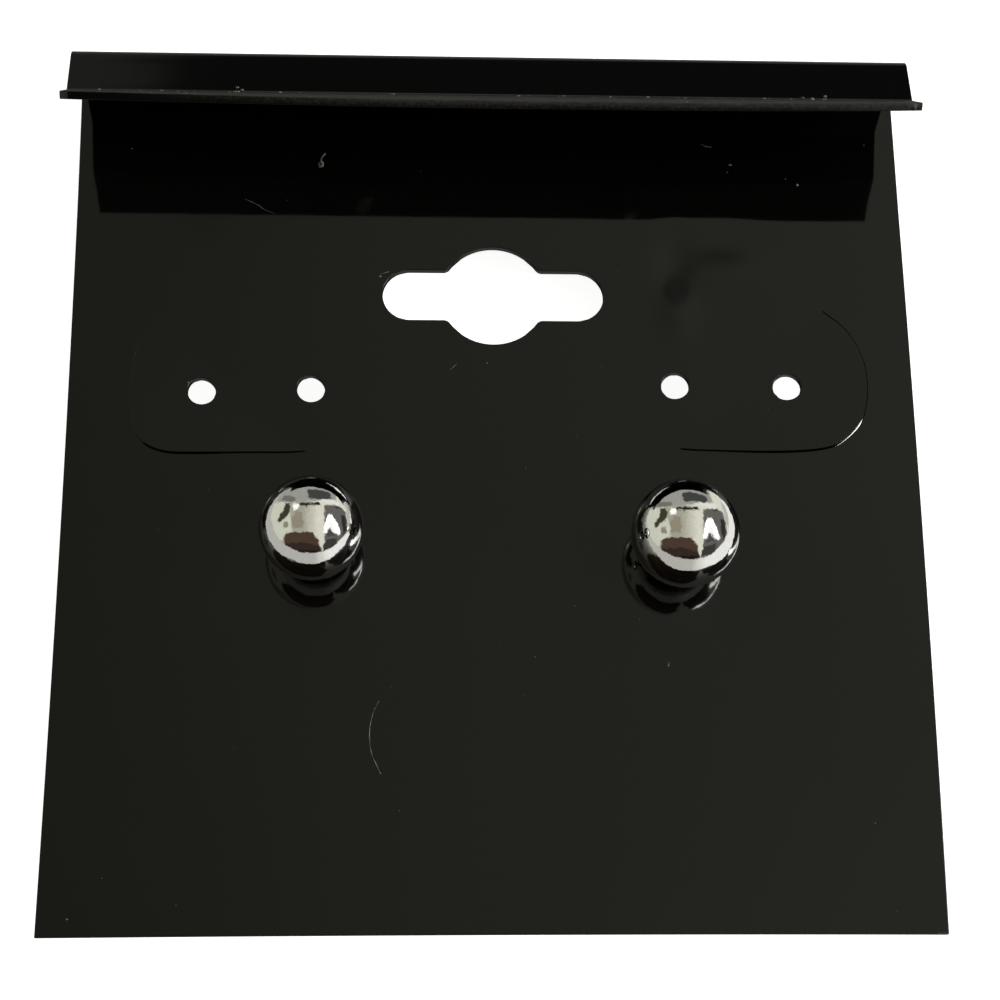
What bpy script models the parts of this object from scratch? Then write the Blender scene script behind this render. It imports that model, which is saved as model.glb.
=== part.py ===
"""A pair of ball stud earrings on a bent plastic display card.

The pieces are modelled in the card's own frame and hang on one empty, which then lays them down:
x runs across the card, y up the panel from its bottom edge, z out of its front face.
The card lies on its two ear posts and on the crease of its lip, with the bottom edge raised.
"""
import math

import bmesh
import bpy
from mathutils import Vector

# Card sheet
CARD_WIDTH = 0.0508
PANEL_HEIGHT = 0.0539        # bottom edge to the sharp outer corner of the crease
SHEET_THICKNESS = 0.0005
BEND_RADIUS = 0.0003         # on the inside of each bend

# Lip: the outside lengths of its three strips, and how far each is turned from the panel
WEB_LENGTH = 0.00533
WEB_TURN = math.radians(108.6)
BAND_LENGTH = 0.00300
BAND_TURN = math.radians(170.4)
FLANGE_LENGTH = 0.00290
FLANGE_TURN = math.radians(125.3)

# Hang slot
SLOT_HEIGHT = 0.0384         # its centre above the bottom edge
SLOT_LENGTH = 0.01344
SLOT_WING_WIDTH = 0.00327
SLOT_LOBE_DIAMETER = 0.0064
SLOT_FILLET_RADIUS = 0.0005

# Curved slits, each of which frees a tongue with two holes in it
SLIT_HEIGHT = 0.0283         # of the straight run, above the bottom edge
SLIT_WIDTH = 0.0002
SLIT_INNER_END = 0.0111      # from the card's middle
SLIT_ARC_RADIUS = 0.0047
SLIT_ARC_CENTRE_OFFSET = 0.0180
SLIT_ARC_SWEEP = math.radians(150)

# Spare holes
HOLE_ABOVE_SLIT = 0.0039
HOLE_DIAMETER = 0.00175
INNER_HOLE_SPACING = 0.02176
OUTER_HOLE_SPACING = 0.03510

# Studs
BALL_DIAMETER = 0.0060
POST_DIAMETER = 0.0008
POST_REACH = 0.0099          # behind the back of the card
GROOVE_DEPTH = 0.0001
GROOVE_WIDTH = 0.0005
GROOVE_FROM_TIP = 0.0016
COLLAR_DIAMETER = 0.0012     # of the solder cone where the post leaves the ball
STUD_HEIGHT = 0.02255
STUD_SPACING = 0.02175
STUD_SHIFT = 0.0004          # the pair sits this far to the right of the card's middle

# Ear backs
BACK_SHEET = 0.0003
BACK_DEPTH = 0.0025          # outer diameter of each scroll
BACK_WIDTH = 0.0034
SCROLL_SWEEP = math.radians(295)

# Clearances
SEAT_GAP = 0.0002            # ball to card, and ear back to card
POST_CLEARANCE = 0.0001      # round a post, in the card and in its ear back
CUT_OVERSHOOT = 0.0005       # how far each cutter passes both faces of its sheet

# Fineness of the round shapes
BEND_STEPS = 8
ARC_STEPS = 20
BALL_RINGS = 18
BALL_SIDES = 36

PLASTIC = ((0.014, 0.015, 0.012, 1.0), 0.0, 0.06)
SILVER = ((0.86, 0.86, 0.85, 1.0), 1.0, 0.05)
STEEL = ((0.72, 0.72, 0.71, 1.0), 1.0, 0.18)


def clear_scene():
    for obj in list(bpy.data.objects):
        bpy.data.objects.remove(obj, do_unlink=True)


def new_collection(name):
    collection = bpy.data.collections.new(name)
    bpy.context.scene.collection.children.link(collection)
    return collection


def material(name, finish):
    colour, metallic, roughness = finish
    made = bpy.data.materials.new(name)
    made.use_nodes = True
    shader = made.node_tree.nodes["Principled BSDF"]
    shader.inputs["Base Color"].default_value = colour
    shader.inputs["Metallic"].default_value = metallic
    shader.inputs["Roughness"].default_value = roughness
    made.diffuse_color = colour
    return made


def arc(centre, radius, start, sweep, steps):
    """Points on an arc, both ends included; angles in radians."""
    points = []
    for i in range(steps + 1):
        angle = start + sweep * i / steps
        points.append(Vector((centre[0] + radius * math.cos(angle), centre[1] + radius * math.sin(angle))))
    return points


def direction(angle):
    return Vector((math.cos(angle), math.sin(angle)))


def rounded_path(start, runs, left_radius, right_radius, steps):
    """A path of straight runs, each given by its length and heading, with its corners filleted.

    left_radius is used where the path turns left and right_radius where it turns right.
    """
    corners = [Vector(start)]
    for length, heading in runs:
        corners.append(corners[-1] + length * direction(heading))
    points = [corners[0]]
    for i in range(1, len(runs)):
        heading_in = runs[i - 1][1]
        turn = runs[i][1] - heading_in
        radius = left_radius if turn > 0 else right_radius
        side = math.copysign(1.0, turn)
        setback = radius * math.tan(abs(turn) / 2)
        begin = corners[i] - setback * direction(heading_in)
        centre = begin + radius * direction(heading_in + side * math.pi / 2)
        points += arc(centre, radius, heading_in - side * math.pi / 2, turn, steps)
    points.append(corners[-1])
    return points


def link(obj, collection, parent=None):
    collection.objects.link(obj)
    obj.parent = parent
    return obj


def shade(mesh, angle=math.radians(35)):
    mesh.shade_smooth()
    mesh.set_sharp_from_angle(angle=angle)


def bent_sheet(name, profile, place, half_width, thickness, collection, parent):
    """A strip of sheet: an open surface swept sideways from its profile, given its wall by Solidify.

    place turns a profile point and a sideways distance into a position.
    """
    verts = []
    faces = []
    for point in profile:
        verts += [place(point, -half_width), place(point, half_width)]
    for i in range(len(profile) - 1):
        faces.append((2 * i, 2 * i + 2, 2 * i + 3, 2 * i + 1))
    mesh = bpy.data.meshes.new(name)
    mesh.from_pydata(verts, [], faces)
    shade(mesh)
    obj = link(bpy.data.objects.new(name, mesh), collection, parent)
    wall = obj.modifiers.new("wall", "SOLIDIFY")
    wall.thickness = thickness
    wall.offset = -1.0
    wall.use_even_offset = True
    return obj


def flat_cutter(name, outline, depth, level, collection, parent):
    """A flat outline in the card's plane, given depth to both sides of level, as a mesh."""
    curve = bpy.data.curves.new(name, "CURVE")
    curve.dimensions = "2D"
    curve.fill_mode = "BOTH"
    curve.extrude = depth / 2
    spline = curve.splines.new("POLY")
    spline.points.add(len(outline) - 1)
    for target, point in zip(spline.points, outline):
        target.co = (point[0], point[1], 0.0, 1.0)
    spline.use_cyclic_u = True
    source = bpy.data.objects.new(name + "_outline", curve)
    bpy.context.scene.collection.objects.link(source)
    evaluated = source.evaluated_get(bpy.context.evaluated_depsgraph_get())
    mesh = bpy.data.meshes.new_from_object(evaluated)
    bpy.data.objects.remove(source, do_unlink=True)
    return cutter_from_mesh(name, mesh, Vector((0.0, 0.0, level)), collection, parent)


def cutter_from_mesh(name, mesh, location, collection, parent):
    """Weld a mesh, turn its faces outwards, and keep it as a cutter that never shows."""
    welded = bmesh.new()
    welded.from_mesh(mesh)
    bmesh.ops.remove_doubles(welded, verts=welded.verts, dist=1e-7)
    bmesh.ops.recalc_face_normals(welded, faces=welded.faces)
    welded.to_mesh(mesh)
    welded.free()
    cutter = link(bpy.data.objects.new(name, mesh), collection, parent)
    cutter.location = location
    cutter.display_type = "WIRE"
    cutter.hide_render = True
    return cutter


def round_cutter(name, diameter, depth, location, collection, parent):
    mesh = bpy.data.meshes.new(name)
    disc = bmesh.new()
    bmesh.ops.create_cone(disc, cap_ends=True, segments=2 * ARC_STEPS, radius1=diameter / 2,
                          radius2=diameter / 2, depth=depth)
    disc.to_mesh(mesh)
    disc.free()
    return cutter_from_mesh(name, mesh, location, collection, parent)


def cut(obj, cutter):
    hole = obj.modifiers.new(cutter.name, "BOOLEAN")
    hole.operation = "DIFFERENCE"
    hole.solver = "EXACT"
    hole.object = cutter


def hang_slot_outline():
    """Two round-ended wings and a round lobe, with a fillet where they meet: one quarter, mirrored."""
    wing = SLOT_WING_WIDTH / 2
    lobe = SLOT_LOBE_DIAMETER / 2
    reach = lobe + SLOT_FILLET_RADIUS
    rise = wing + SLOT_FILLET_RADIUS
    fillet_x = math.sqrt(reach ** 2 - rise ** 2)
    lobe_angle = math.atan2(rise, fillet_x)
    quarter = arc((SLOT_LENGTH / 2 - wing, 0.0), wing, 0.0, math.pi / 2, ARC_STEPS // 2)
    quarter += arc((fillet_x, rise), SLOT_FILLET_RADIUS, 1.5 * math.pi, lobe_angle - math.pi / 2, BEND_STEPS)
    quarter += arc((0.0, 0.0), lobe, lobe_angle, math.pi / 2 - lobe_angle, ARC_STEPS // 2)[1:]
    half = quarter + [Vector((-p.x, p.y)) for p in reversed(quarter[:-1])]
    ring = half + [Vector((p.x, -p.y)) for p in reversed(half[1:-1])]
    return [Vector((p.x, p.y + SLOT_HEIGHT)) for p in ring]


def slit_outline(side):
    """A narrow band along a straight run that turns up round the outer hole; side is -1 or 1."""
    half = SLIT_WIDTH / 2
    centre = (SLIT_ARC_CENTRE_OFFSET, SLIT_HEIGHT + SLIT_ARC_RADIUS)
    outer = arc(centre, SLIT_ARC_RADIUS + half, -math.pi / 2, SLIT_ARC_SWEEP, ARC_STEPS)
    inner = arc(centre, SLIT_ARC_RADIUS - half, -math.pi / 2, SLIT_ARC_SWEEP, ARC_STEPS)
    start = [Vector((SLIT_INNER_END, SLIT_HEIGHT - half))]
    finish = [Vector((SLIT_INNER_END, SLIT_HEIGHT + half))]
    band = start + outer + list(reversed(inner)) + finish
    return [Vector((side * p.x, p.y)) for p in band]


def card_profile():
    """The outside of the sheet, from the bottom edge up the back, over the lip to its free edge."""
    runs = ((PANEL_HEIGHT, 0.0), (WEB_LENGTH, WEB_TURN), (BAND_LENGTH, BAND_TURN), (FLANGE_LENGTH, FLANGE_TURN))
    return rounded_path((0.0, -SHEET_THICKNESS), runs, outer_bend_radius(), BEND_RADIUS, BEND_STEPS)


def outer_bend_radius():
    return BEND_RADIUS + SHEET_THICKNESS


def make_card(parts, cutters, rest, finish):
    card = bent_sheet("display_card", card_profile(), lambda p, across: (across, p.x, p.y),
                      CARD_WIDTH / 2, SHEET_THICKNESS, parts, rest)
    card.data.materials.append(finish)
    depth = SHEET_THICKNESS + 2 * CUT_OVERSHOOT
    middle = -SHEET_THICKNESS / 2
    cut(card, flat_cutter("cut_hang_slot", hang_slot_outline(), depth, middle, cutters, rest))
    for label, side in (("left", -1), ("right", 1)):
        cut(card, flat_cutter("cut_slit_" + label, slit_outline(side), depth, middle, cutters, rest))
        for place, spacing in (("inner", INNER_HOLE_SPACING), ("outer", OUTER_HOLE_SPACING)):
            at = Vector((side * spacing / 2, SLIT_HEIGHT + HOLE_ABOVE_SLIT, middle))
            cut(card, round_cutter("cut_hole_%s_%s" % (place, label), HOLE_DIAMETER, depth, at, cutters, rest))
        at = Vector((stud_x(side), STUD_HEIGHT, middle))
        cut(card, round_cutter("cut_piercing_" + label, bore_diameter(), depth, at, cutters, rest))
    return card


def stud_x(side):
    return side * STUD_SPACING / 2 + STUD_SHIFT


def bore_diameter():
    return POST_DIAMETER + 2 * POST_CLEARANCE


def stud_profile():
    """Radius and height of the turned outline, from the top of the ball down to the post's tip.

    Height is measured from the ball's centre. A small cone of solder joins the ball to the post.
    """
    ball = BALL_DIAMETER / 2
    post = POST_DIAMETER / 2
    meet = math.asin(COLLAR_DIAMETER / BALL_DIAMETER)
    tip = -(ball + SEAT_GAP + SHEET_THICKNESS + POST_REACH)
    groove = tip + GROOVE_FROM_TIP
    profile = arc((0.0, 0.0), ball, math.pi / 2, -(math.pi - meet), BALL_RINGS)
    profile[0].x = 0.0
    profile.append(Vector((post, -ball - SEAT_GAP / 2)))
    profile.append(Vector((post, groove + GROOVE_WIDTH)))
    profile.append(Vector((post - GROOVE_DEPTH, groove + GROOVE_WIDTH - GROOVE_DEPTH)))
    profile.append(Vector((post - GROOVE_DEPTH, groove + GROOVE_DEPTH)))
    profile.append(Vector((post, groove)))
    end = arc((0.0, tip + post), post, 0.0, -math.pi / 2, BEND_STEPS)
    end[-1].x = 0.0
    return profile + end


def make_stud(name, side, parts, rest, finish):
    profile = stud_profile()
    mesh = bpy.data.meshes.new(name)
    edges = [(i, i + 1) for i in range(len(profile) - 1)]
    mesh.from_pydata([(p.x, 0.0, p.y) for p in profile], edges, [])
    mesh.materials.append(finish)
    stud = link(bpy.data.objects.new(name, mesh), parts, rest)
    stud.location = (stud_x(side), STUD_HEIGHT, SEAT_GAP + BALL_DIAMETER / 2)
    turn = stud.modifiers.new("turn", "SCREW")
    turn.axis = "Z"
    turn.steps = BALL_SIDES
    turn.render_steps = BALL_SIDES
    turn.use_merge_vertices = True
    turn.merge_threshold = 0.000001
    turn.use_smooth_shade = True
    return stud


def back_profile():
    """One half of the ear back's strip, from its middle out and round into a scroll beside the post."""
    scroll = BACK_DEPTH / 2
    centre_x = bore_diameter() / 2 + scroll
    middle = [Vector((0.0, 0.0))]
    return middle + arc((centre_x, scroll), scroll, -math.pi / 2, SCROLL_SWEEP - math.pi / 2, ARC_STEPS)


def make_ear_back(name, side, parts, cutters, rest, finish):
    """A strip with a scroll at each end that grips the post between them, facing away from the card."""
    half = back_profile()
    strip = [Vector((-p.x, p.y)) for p in reversed(half[1:])] + half
    seat = Vector((stud_x(side), STUD_HEIGHT, -SHEET_THICKNESS - SEAT_GAP))
    back = bent_sheet(name, strip, lambda p, across: (p.x, across, -p.y),
                      BACK_WIDTH / 2, BACK_SHEET, parts, rest)
    back.location = seat
    back.data.materials.append(finish)
    middle = seat - Vector((0.0, 0.0, BACK_SHEET / 2))
    depth = BACK_SHEET + 2 * CUT_OVERSHOOT
    cut(back, round_cutter("cut_" + name, bore_diameter(), depth, middle, cutters, rest))
    return back


def rest_pose():
    """The tilt and place that lay the card down on its post tips and its crease.

    The posts end in a ball of the post's radius, and the crease is a cylinder of the outer bend
    radius. One plane touches both from below, and the middle of the laid shape goes to the origin.
    """
    tip_radius = POST_DIAMETER / 2
    tip = Vector((STUD_HEIGHT, -SHEET_THICKNESS - POST_REACH + tip_radius))
    radius = outer_bend_radius()
    setback = radius * math.tan(WEB_TURN / 2)
    crease = Vector((PANEL_HEIGHT - setback, radius - SHEET_THICKNESS))
    span = crease - tip
    tilt = math.atan2(span.y, span.x) + math.asin((tip_radius - radius) / span.length)
    sine, cosine = math.sin(tilt), math.cos(tilt)
    floor = -crease.x * sine + crease.y * cosine - radius
    laid = [p.x * cosine + p.y * sine for p in card_profile()]
    middle = (min(laid) + max(laid)) / 2
    return tilt, Vector((0.0, -middle, -floor))


def main():
    clear_scene()
    parts = new_collection("ball_studs_on_card")
    cutters = new_collection("cutters")
    plastic = material("black_plastic", PLASTIC)
    silver = material("polished_silver", SILVER)
    steel = material("ear_back_steel", STEEL)

    rest = bpy.data.objects.new("rest_pose", None)
    link(rest, parts)
    tilt, place = rest_pose()
    rest.rotation_euler = (-tilt, 0.0, 0.0)
    rest.location = place

    make_card(parts, cutters, rest, plastic)
    for label, side in (("left", -1), ("right", 1)):
        make_stud("ball_stud_" + label, side, parts, rest, silver)
        make_ear_back("ear_back_" + label, side, parts, cutters, rest, steel)


main()
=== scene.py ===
import math

import bpy
import numpy as np
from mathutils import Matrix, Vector
from mathutils.geometry import delaunay_2d_cdt


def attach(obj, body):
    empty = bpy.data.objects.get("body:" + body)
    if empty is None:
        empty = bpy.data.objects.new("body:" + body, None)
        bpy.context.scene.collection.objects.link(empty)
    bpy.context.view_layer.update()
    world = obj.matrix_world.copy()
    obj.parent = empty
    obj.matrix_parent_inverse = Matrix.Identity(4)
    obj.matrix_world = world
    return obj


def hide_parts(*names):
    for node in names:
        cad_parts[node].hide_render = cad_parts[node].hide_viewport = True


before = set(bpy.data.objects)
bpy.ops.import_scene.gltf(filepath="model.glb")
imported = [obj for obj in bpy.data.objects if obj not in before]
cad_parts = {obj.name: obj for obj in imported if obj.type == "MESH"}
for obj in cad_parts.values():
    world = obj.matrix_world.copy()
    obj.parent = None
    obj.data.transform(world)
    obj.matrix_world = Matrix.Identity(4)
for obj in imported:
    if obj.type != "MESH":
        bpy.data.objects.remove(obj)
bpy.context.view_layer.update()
print("frame loaded:", ", ".join(sorted(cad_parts)))

# Pieces are worked out in the card's own frame, in millimetres: x across the card, v up the panel
# from its bottom edge, h out of its front face. The card lies tilted on its lip and its post tips.
lay = {"tilt": 18.0937, "y": -25.457114, "z": 16.908895}


def turnDown(directions):
    # x stays, and (v, h) is turned by the tilt
    tilt = math.radians(lay["tilt"])
    x, v, h = directions[..., 0], directions[..., 1], directions[..., 2]
    return np.stack([x, v * math.cos(tilt) + h * math.sin(tilt),
                     -v * math.sin(tilt) + h * math.cos(tilt)], -1)


def layDown(points):
    # turned by the tilt and moved, then millimetres become metres
    return (turnDown(points) + (0, lay["y"], lay["z"])) * 0.001


def makePiece(name, points, faces, finish, node=None, slotName=None, normals=None, values=None):
    mesh = bpy.data.meshes.new(name)
    mesh.from_pydata(layDown(points).tolist(), [], faces)
    mesh.shade_smooth()
    if normals is not None:
        mesh.normals_split_custom_set_from_vertices(turnDown(normals).tolist())
    for key, numbers in (values or {}).items():
        mesh.attributes.new(key, "FLOAT", "POINT").data.foreach_set("value", numbers.astype(np.float32))
    piece = bpy.data.objects.new(name, mesh)
    bpy.context.scene.collection.objects.link(piece)
    piece.data.materials.append(finish)
    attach(piece, "root")
    if node:
        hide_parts(node)
    print(name, len(mesh.vertices), "points")


def ramp(x, start, reach):
    # 0 up to the start, then evenly up to 1 over the reach
    return np.clip((x - start) / reach, 0, 1)


def bell(x, middle, reach):
    # exp(-((x - middle) / reach) ^ 2)
    return np.exp(-((x - middle) / reach) ** 2)


def arcPoints(centre, radius, start, sweep, steps):
    # centre + radius * (cos, sin) of evenly spaced angles, in degrees
    angle = np.radians(start + sweep * np.arange(steps + 1) / steps)
    return np.stack([centre[0] + radius * np.cos(angle), centre[1] + radius * np.sin(angle)], -1)


def pathOf(points, headings):
    # a path with the distance run at each point
    gaps = np.hypot(*np.diff(points, axis=0).T)
    return {"points": points, "headings": headings, "distance": np.concatenate([[0], np.cumsum(gaps)])}


def bendPath(start, runs, leftRadius, rightRadius, steps=12):
    # straight runs (length, heading) joined by fillets, with this many steps to a fillet
    corners = [np.array(start, float)]
    for length, heading in runs:
        step = length * np.array([math.cos(math.radians(heading)), math.sin(math.radians(heading))])
        corners.append(corners[-1] + step)
    points, headings = [corners[0]], [runs[0][1]]
    for i in range(1, len(runs)):
        before, after = runs[i - 1][1], runs[i][1]
        turn = after - before
        radius = leftRadius if turn > 0 else rightRadius
        side = math.copysign(1.0, turn)
        along = np.array([math.cos(math.radians(before)), math.sin(math.radians(before))])
        begin = corners[i] - radius * math.tan(math.radians(abs(turn)) / 2) * along
        centre = begin + side * radius * np.array([-along[1], along[0]])
        points += list(arcPoints(centre, radius, before - side * 90, turn, steps))
        headings += list(before + turn * np.arange(steps + 1) / steps)
    points.append(corners[-1])
    headings.append(runs[-1][1])
    return pathOf(np.array(points), np.array(headings, float))


def onPath(path, s, depth):
    # the path's point at distance s, moved to the left of its heading by depth
    p = np.stack([np.interp(s, path["distance"], path["points"][:, k]) for k in (0, 1)], -1)
    heading = np.radians(np.interp(s, path["distance"], path["headings"]))
    left = np.stack([-np.sin(heading), np.cos(heading)], -1)
    return p + depth[..., None] * left


def smoothChain(chain, steps):
    # the curve of uniform cubic pieces through every point of the chain, with tangents (p2 - p0) / 2
    p = np.array(chain, float)
    p = np.concatenate([[2 * p[0] - p[1]], p, [2 * p[-1] - p[-2]]])
    t = (np.arange(steps) / steps)[None, :, None]
    p0, p1, p2, p3 = (p[k:len(p) - 3 + k, None] for k in range(4))
    pieces = 0.5 * (2 * p1 + (p2 - p0) * t + (2 * p0 - 5 * p1 + 4 * p2 - p3) * t ** 2
                    + (3 * p1 - p0 - 3 * p2 + p3) * t ** 3)
    return np.concatenate([pieces.reshape(-1, p.shape[1]), p[-2:-1]])


def besideChain(chain):
    # unit vectors to the left of an open chain: its gradient turned by a right angle
    ahead = np.gradient(chain, axis=0)
    return np.stack([-ahead[:, 1], ahead[:, 0]], -1) / np.hypot(ahead[:, 0], ahead[:, 1])[:, None]


def leftOf(loop, sharpest=0.3):
    # mitred normals of a closed loop, to the left of its travel, where the material is;
    # sharpest keeps the mitre of a sharp corner short
    ahead = np.roll(loop, -1, 0) - loop
    ahead = ahead / np.hypot(ahead[:, 0], ahead[:, 1])[:, None]
    left = np.stack([-ahead[:, 1], ahead[:, 0]], -1)
    before = np.roll(left, 1, 0)
    return (left + before) / np.maximum(1 + (left * before).sum(-1), sharpest)[:, None]


def insideLoop(points, loop):
    # even-odd crossings of a ray along +x
    a, b = loop, np.roll(loop, -1, 0)
    x, y = points[:, None, 0], points[:, None, 1]
    spans = (a[None, :, 1] > y) != (b[None, :, 1] > y)
    slope = (b[:, 0] - a[:, 0]) / np.where(b[:, 1] == a[:, 1], 1e-12, b[:, 1] - a[:, 1])
    crossing = a[None, :, 0] + (y - a[None, :, 1]) * slope[None]
    return (spans & (x < crossing)).sum(1) % 2 == 1


def ringQuads(index):
    # the quads between neighbouring closed rings of points; index is (..., ring, point of the ring)
    after = np.roll(index, -1, -1)
    quads = [index[..., :-1, :], index[..., 1:, :], after[..., 1:, :], after[..., :-1, :]]
    return np.stack(quads, -1).reshape(-1, 4)


def cutSheet(outline, openings, inner, foldLines, sheet, rims, place):
    # A die-cut sheet: the flat shape (across, along) is triangulated once, used for its front and
    # its back, and joined by rounded rims; place(across, along, depth) then bends it.
    # outline runs anticlockwise and openings clockwise, so that the material is on the left.
    loops = [outline] + openings
    quarter = np.radians([0, 30, 60, 90])
    counts = [len(loop) for loop in loops]
    starts = np.concatenate([[0], np.cumsum(counts)])[:-1]
    edges = [(int(a + i), int(a + (i + 1) % n)) for a, n in zip(starts, counts) for i in range(n)]
    border = np.concatenate([loop + rim * leftOf(loop) for loop, rim in zip(loops, rims)])
    flat = np.concatenate([border, inner])
    edges += foldLines
    made = delaunay_2d_cdt([Vector(p) for p in flat.tolist()], edges, [], 1, 1e-7)
    assert len(made[0]) == len(flat)
    order = np.array([source[0] for source in made[3]])
    triangles = order[np.array([list(f) for f in made[2]])]
    middles = flat[triangles].mean(1)
    keep = np.ones(len(triangles), bool)
    for loop in openings:
        keep &= ~insideLoop(middles, loop)
    triangles = triangles[keep]
    a, b, c = flat[triangles[:, 0]], flat[triangles[:, 1]], flat[triangles[:, 2]]
    turned = (b - a)[:, 0] * (c - a)[:, 1] - (b - a)[:, 1] * (c - a)[:, 0] < 0
    triangles[turned] = triangles[turned][:, ::-1]
    count = len(flat)

    def slopes(x, s, d, e=0.01):
        # unit vectors along the bent sheet by central differences, and its normal
        alongX = place(x + e, s, d) - place(x - e, s, d)
        alongS = place(x, s + e, d) - place(x, s - e, d)
        alongX = alongX / np.linalg.norm(alongX, axis=-1)[:, None]
        alongS = alongS / np.linalg.norm(alongS, axis=-1)[:, None]
        up = np.cross(alongX, alongS)
        return alongX, alongS, up / np.linalg.norm(up, axis=-1)[:, None]

    faceDepths = [np.zeros(count), np.full(count, sheet)]
    points = [place(flat[:, 0], flat[:, 1], depth) for depth in faceDepths]
    front, back = (slopes(flat[:, 0], flat[:, 1], depth)[2] for depth in faceDepths)
    normals = [front, -back]
    flatPlaces = [np.column_stack([flat, depth]) for depth in faceDepths]
    # from the front face over the rim to the back: how far out and up its normal leans at each step
    tips = np.concatenate([np.sin(quarter), np.sin(quarter[::-1])])
    tops = np.concatenate([np.cos(quarter), -np.cos(quarter[::-1])])
    faces = triangles.tolist() + (triangles[:, ::-1] + count).tolist()
    base = 2 * count
    for loop, rim, first in zip(loops, rims, starts):
        inset = rim * (1 - tips)
        depth = np.concatenate([rim * (1 - np.cos(quarter)), sheet - rim * (1 - np.cos(quarter[::-1]))])
        n = len(loop)
        here = np.arange(n)
        rings = [here + first]
        left = leftOf(loop)
        unit = left / np.hypot(left[:, 0], left[:, 1])[:, None]
        alongX, alongS, up = slopes(loop[:, 0], loop[:, 1], np.full(n, sheet / 2))
        outward = -(unit[:, :1] * alongX + unit[:, 1:] * alongS)
        for k in range(1, len(inset) - 1):
            ring = loop + inset[k] * left
            points.append(place(ring[:, 0], ring[:, 1], np.full(n, depth[k])))
            normals.append(tips[k] * outward + tops[k] * up)
            flatPlaces.append(np.column_stack([ring, np.full(n, depth[k])]))
            rings.append(here + base)
            base += n
        rings.append(here + first + count)
        for upper, lower in zip(rings, rings[1:]):
            faces += np.stack([upper, lower, np.roll(lower, -1), np.roll(upper, -1)], -1).tolist()
    return np.concatenate(points), faces, np.concatenate(normals), np.concatenate(flatPlaces)


class Wire:
    # one socket of a node tree; sums, products and so on add Math nodes
    def __init__(self, tree, socket):
        self.tree, self.socket = tree, socket

    def math(self, operation, *values):
        made = self.tree.nodes.new("ShaderNodeMath")
        made.operation = operation
        for socket, value in zip(made.inputs, values):
            join(self.tree, socket, value)
        return Wire(self.tree, made.outputs[0])

    def __add__(self, other):
        return self.math("ADD", self, other)

    def __radd__(self, other):
        return self.math("ADD", other, self)

    def __sub__(self, other):
        return self.math("SUBTRACT", self, other)

    def __rsub__(self, other):
        return self.math("SUBTRACT", other, self)

    def __mul__(self, other):
        return self.math("MULTIPLY", self, other)

    def __rmul__(self, other):
        return self.math("MULTIPLY", other, self)

    def __truediv__(self, other):
        return self.math("DIVIDE", self, other)

    def __rtruediv__(self, other):
        return self.math("DIVIDE", other, self)

    def least(self, other):
        return self.math("MINIMUM", self, other)

    def root(self):
        return self.math("SQRT", self)

    def exponent(self):
        return self.math("EXPONENT", self)

    def angleTo(self, other):
        return self.math("ARCTAN2", self, other)

    def scaled(self, factor, added=0.0):
        return self.math("MULTIPLY_ADD", self, factor, added)

    def clamped(self):
        # kept between 0 and 1
        made = self.math("ADD", self, 0.0)
        made.socket.node.use_clamp = True
        return made


def join(tree, socket, value):
    if isinstance(value, Wire):
        tree.links.new(value.socket, socket)
    else:
        socket.default_value = value


def addNode(tree, kind, settings=None, output=0, **inputs):
    # settings first, then the values or links of its sockets, by name or by number as i0, i6 and so on
    made = tree.nodes.new(kind)
    for key, value in (settings or {}).items():
        setattr(made, key, value)
    for key, value in inputs.items():
        numbered = key[0] == "i" and key[1:].isdigit()
        join(tree, made.inputs[int(key[1:]) if numbered else key], value)
    return Wire(tree, made.outputs[output])


def mixColour(tree, share, under, over):
    return addNode(tree, "ShaderNodeMix", {"data_type": "RGBA"}, 2, i0=share, i6=under, i7=over)


def noise(tree, place, scale, detail, output=0, distortion=0.0):
    return addNode(tree, "ShaderNodeTexNoise", None, output,
                   Vector=place, Scale=scale, Detail=detail, Distortion=distortion)


def bumpFrom(tree, height):
    # height in metres
    return addNode(tree, "ShaderNodeBump", Height=height, Distance=1.0, Strength=1.0)


def partsOf(tree, vector):
    # x, y and z of a vector
    made = addNode(tree, "ShaderNodeSeparateXYZ", Vector=vector).socket.node
    return [Wire(tree, socket) for socket in made.outputs]


def newMaterial(name, **fixed):
    # gives the material, its node tree, its shader and the place on the piece
    made = bpy.data.materials.new(name)
    made.use_nodes = True
    tree = made.node_tree
    shader = tree.nodes["Principled BSDF"]
    for key, value in fixed.items():
        shader.inputs[key.replace("_", " ")].default_value = value
    return made, tree, shader, addNode(tree, "ShaderNodeTexCoord", output="Object")


# The card's glossy black plastic. Pairs are a factor and what is added.
plasticLook = {
    # the lighter grey for the flange's outer face and cut edge is partly painted sheen, standing in for the
    # reflection along that strip, and partly scuffs and dust
    "base": (0.0012, 0.0012, 0.0011, 1), "scuffAndSheen": (0.0145, 0.0145, 0.013, 1),
    "dusty": (0.05, 0.05, 0.046, 1), "roughness": 0.04, "ior": 1.37,
    "blotchNoise": (260.0, 4.0), "grainNoise": (5200.0, 2.0), "waves": 0.000004,  # scale, detail
    "dustEdge": (5.0, -2.2), "dustMost": 0.55,
    "scuffedRough": 0.4, "smudgedRough": 0.22, "blotchRough": (0.07, 0.01), "grainRough": 0.02,
    # two soft dimples near the top of the panel tip the mirrored dark bar into sight:
    # middle x and y, half width, half height, all in metres, and slope
    "dimples": ((0.0114, 0.0115, 0.0011, 0.0021, 0.14),
                (0.0141, 0.0136, 0.0023, 0.0013, 0.07)),
}
plastic, plasticTree, plasticShader, plasticPlace = newMaterial(
    "blackPlastic", Base_Color=plasticLook["base"], Roughness=plasticLook["roughness"],
    IOR=plasticLook["ior"])
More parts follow.
